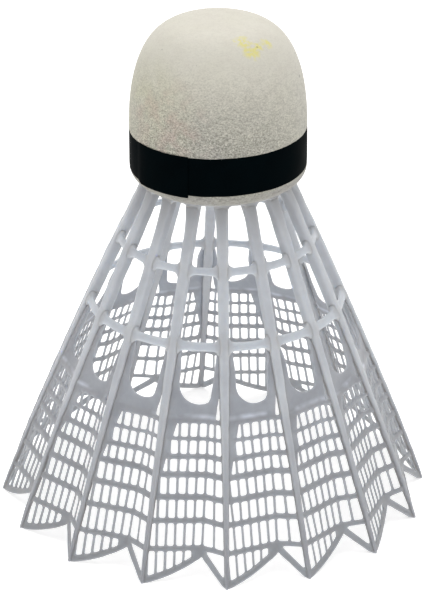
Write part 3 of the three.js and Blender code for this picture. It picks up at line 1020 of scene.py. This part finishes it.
HEAD_RADIUS = COVER[1].x - 0.05
HEAD_BOTTOM = COVER[0].z
HEAD_TOP = COVER[1].z
LOWER_EDGE_RADIUS = 2.0
DOME_START = 59.85
DOME_RISE_POWER = 2.14
DOME_ROUND_POWER = 4.0
DOME_RINGS = 90
DOME_FIRST_ANGLE = 0.004
SIDE_RINGS = 48
EDGE_RINGS = 16
COVER_THICKNESS = 0.4
COVER_LUMP = 5.5  # size and depth of the cover's slight unevenness
COVER_UNEVENNESS = 0.06
LIP_RADIUS = 9.0
LIP_ROUNDING = 0.15
CORE_GAP = 0.2
CORE_GRAIN = 0.9  # size and depth of the core's granules
CORE_ROUGHNESS = 0.05
BORE_CLEARANCE = 0.5
BORE_HEADROOM = 0.3
HEAD_STEPS = 180
HEAD_TILT = math.radians(0.5)  # the head sits slightly askew on the skirt
HEAD_SHIFT = 0.42

BAND_BOTTOM = 53.7
BAND_TOP = 59.65
BAND_TILT_SIDE = math.radians(0.8)  # the tape is wound slightly askew on the head
BAND_TILT_BACK = math.radians(1.3)
GROOVE_DEPTH = 0.12  # how far the tape presses into the cover
GROOVE_EDGE = 0.22


def seated(points):
    """Points of the head as it sits on the skirt."""
    points = np.asarray(points)
    x, y, z = points.T
    raised = z - HEAD_BOTTOM
    turned_x = x * math.cos(HEAD_TILT) - raised * math.sin(HEAD_TILT) + HEAD_SHIFT
    turned_z = x * math.sin(HEAD_TILT) + raised * math.cos(HEAD_TILT) + HEAD_BOTTOM
    return np.column_stack([turned_x, y, turned_z])


def band_shift(x, y):
    """How much the tape's edges are raised at a place on the head."""
    return x * math.tan(BAND_TILT_SIDE) - (y + HEAD_RADIUS) * math.tan(BAND_TILT_BACK)


def head_outline(inset):
    """The head's outer line from its crown down to its underside, moved inwards by an inset."""
    radius = HEAD_RADIUS - inset
    rise = np.cos(np.linspace(DOME_FIRST_ANGLE, math.pi / 2, DOME_RINGS)) ** (2 / DOME_RISE_POWER)
    round_part = np.clip(1 - rise**DOME_RISE_POWER, 0, 1) ** (1 / DOME_ROUND_POWER)
    dome = np.column_stack([radius * round_part, DOME_START + (HEAD_TOP - DOME_START - inset) * rise])
    dome[-1, 1] = DOME_START
    centre = HEAD_BOTTOM + LOWER_EDGE_RADIUS
    levels = np.linspace(DOME_START, centre, SIDE_RINGS + 2)[1:-1]
    side = np.column_stack([np.full(SIDE_RINGS, radius), levels])
    edge = LOWER_EDGE_RADIUS - inset
    angle = np.linspace(0, math.pi / 2, EDGE_RINGS)
    low_radius = HEAD_RADIUS - LOWER_EDGE_RADIUS + edge * np.cos(angle)
    low = np.column_stack([low_radius, centre - edge * np.sin(angle)])
    return np.concatenate([dome, side, low])


def turned_piece(profile, place):
    """Points and faces of a closed body turned from a profile whose ends lie close to the axis."""
    radius, z = profile.T
    count = len(profile)
    points = np.concatenate([place(upright(radius, azimuth, z)) for azimuth in full_turn(HEAD_STEPS)])
    faces = grid_faces(HEAD_STEPS, count, wrap_rows=True)
    faces.append([i * count for i in range(HEAD_STEPS)])
    faces.append([i * count + count - 1 for i in reversed(range(HEAD_STEPS))])
    return points, faces


def add_cover():
    """The thin skin over the core, turned in under its lower edge, with slight unevenness."""
    outer = head_outline(0)
    inner = head_outline(COVER_THICKNESS)[::-1]
    lip = np.array([
        [LIP_RADIUS + LIP_ROUNDING, HEAD_BOTTOM],
        [LIP_RADIUS, HEAD_BOTTOM + COVER_THICKNESS / 2],
        [LIP_RADIUS + LIP_ROUNDING, HEAD_BOTTOM + COVER_THICKNESS],
    ])
    profile = np.concatenate([outer, lip, inner])
    is_outer = np.arange(len(profile)) < len(outer)

    def place(points):
        x, y, z = points.T
        uneven = np.array([noise.noise(Vector(p) / COVER_LUMP) for p in points])
        under_tape = smooth_step((z - BAND_BOTTOM - band_shift(x, y)) / GROOVE_EDGE)
        under_tape *= smooth_step((BAND_TOP + band_shift(x, y) - z) / GROOVE_EDGE)
        loss = is_outer * (COVER_UNEVENNESS * (uneven + 1) / 2 + GROOVE_DEPTH * under_tape)
        points[:, :2] *= (1 - loss / HEAD_RADIUS)[:, None]
        return seated(points)

    points, faces = turned_piece(profile, place)
    piece = add_object("cover_shell", points, faces, [cover_skin], "root", sharp_angle=60)
    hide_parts("head_cover")


def add_core():
    """The cork core under the cover, with its blind bore for the spigot."""
    inset = COVER_THICKNESS + CORE_GAP
    bore = SPIGOT_RADIUS + BORE_CLEARANCE
    bore_top = HUB[1].z + BORE_HEADROOM
    hollow = np.array([
        [bore, HEAD_BOTTOM + inset + 0.3],
        [bore, bore_top - 0.2],
        [bore - 0.3, bore_top],
        [NEAR_AXIS, bore_top],
    ])
    rim = np.array([[bore + 0.3, HEAD_BOTTOM + inset]])
    profile = np.concatenate([head_outline(inset), rim, hollow])

    def place(points):
        grain = np.array([noise.noise(Vector(p) / CORE_GRAIN) for p in points])
        points[:, :2] *= (1 - CORE_ROUGHNESS * (grain + 1) / HEAD_RADIUS)[:, None]
        return seated(points)

    points, faces = turned_piece(profile, place)
    piece = add_object("cork_core", points, faces, [pressed_cork], "root", sharp_angle=50)
    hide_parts("head_core")


add_cover()
add_core()


# ---- Band ----

TAPE_INNER = HEAD_RADIUS - GROOVE_DEPTH
TAPE_THICKNESS = 0.11
TAPE_START = math.radians(-62)
TAPE_END = math.radians(360 - 23)
TAPE_STEPS = 420
TAPE_ROWS = 9
TAPE_EDGE = 0.04  # how far its outer face is rounded back at its edges
TAPE_BACK = 0.03  # and its inner face
LAP_DROP = 0.35
LAP_RISE = 0.08
LAP_STEP = math.radians(6)
LAP_GAP = 0.01
RIPPLE_DEPTH = 0.01
RIPPLE_RATE = 6
LAP_RIPPLE = 5  # how far off in the noise the lap lies
WAVER = 0.02  # the edges waver by this much, at this rate
WAVER_RATE = 9
LOW_WAVER = 3  # places in the noise of the lower and the upper edge
HIGH_WAVER = 7


def edge_waver(azimuth, edge):
    return WAVER * noise.noise(Vector((azimuth * WAVER_RATE, edge, 0)))


def add_band():
    """One turn of tape that ends by lapping over its own start."""
    lap_begins = TAPE_START + 2 * math.pi
    rings = []
    for azimuth in np.linspace(TAPE_START, TAPE_END, TAPE_STEPS):
        over = float(smooth_step((azimuth - lap_begins + LAP_STEP) / LAP_STEP))
        ripple = RIPPLE_DEPTH * noise.noise(Vector((azimuth * RIPPLE_RATE, over * LAP_RIPPLE, 0)))
        inner = TAPE_INNER + over * (TAPE_THICKNESS + LAP_GAP)
        outer = np.full(TAPE_ROWS, inner + TAPE_THICKNESS + ripple)
        outer[[0, -1]] -= TAPE_EDGE
        low = BAND_BOTTOM - over * LAP_DROP + edge_waver(azimuth, LOW_WAVER)
        high = BAND_TOP + over * LAP_RISE + edge_waver(azimuth, HIGH_WAVER)
        radius = np.concatenate([outer, [inner, inner]])
        z = np.concatenate([np.linspace(low, high, TAPE_ROWS), [high - TAPE_BACK, low + TAPE_BACK]])
        ring = upright(radius, azimuth, z)
        ring[:, 2] += band_shift(ring[:, 0], ring[:, 1])
        rings.append(seated(ring))
    points = np.concatenate(rings)
    piece = add_object("tape_band", points, capped_loft(rings), [black_tape], "root", sharp_angle=35)
    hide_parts("speed_band")


add_band()


# ---- Floor and light ----

FLOOR_HALF = 3000.0
WORLD_STRENGTH = 0.47
LIGHT_TARGET = (0, 0, 0.035)  # lights are placed and aimed in metres
REAR_COLOUR = (1, 0.96, 0.91)


def add_floor():
    h = FLOOR_HALF
    corners = [(-h, -h, 0), (h, -h, 0), (h, h, 0), (-h, h, 0)]
    floor = add_object("floor", corners, [[0, 1, 2, 3]], [floor_material()], None)


def add_area_light(name, place, size, watts):
    data = bpy.data.lights.new(name, "AREA")
    data.shape = "SQUARE"
    data.size = size
    data.energy = watts
    light = bpy.data.objects.new(name, data)
    bpy.context.scene.collection.objects.link(light)
    light.location = place
    light.rotation_euler = (Vector(place) - Vector(LIGHT_TARGET)).to_track_quat("Z", "Y").to_euler()
    return light


def add_studio_light():
    world = bpy.data.worlds.new("studio")
    world.use_nodes = True
    background = world.node_tree.nodes["Background"]
    background.inputs["Color"].default_value = (1, 1, 1, 1)
    background.inputs["Strength"].default_value = WORLD_STRENGTH
    bpy.context.scene.world = world
    add_area_light("overhead", place=(0.02, -0.1, 1.3), size=1.1, watts=8)
    rear = add_area_light("rear", place=(0.1, 1.1, 0.8), size=0.8, watts=5)
    rear.data.color = REAR_COLOUR
    bpy.context.scene.view_settings.view_transform = "Standard"


add_floor()
add_studio_light()
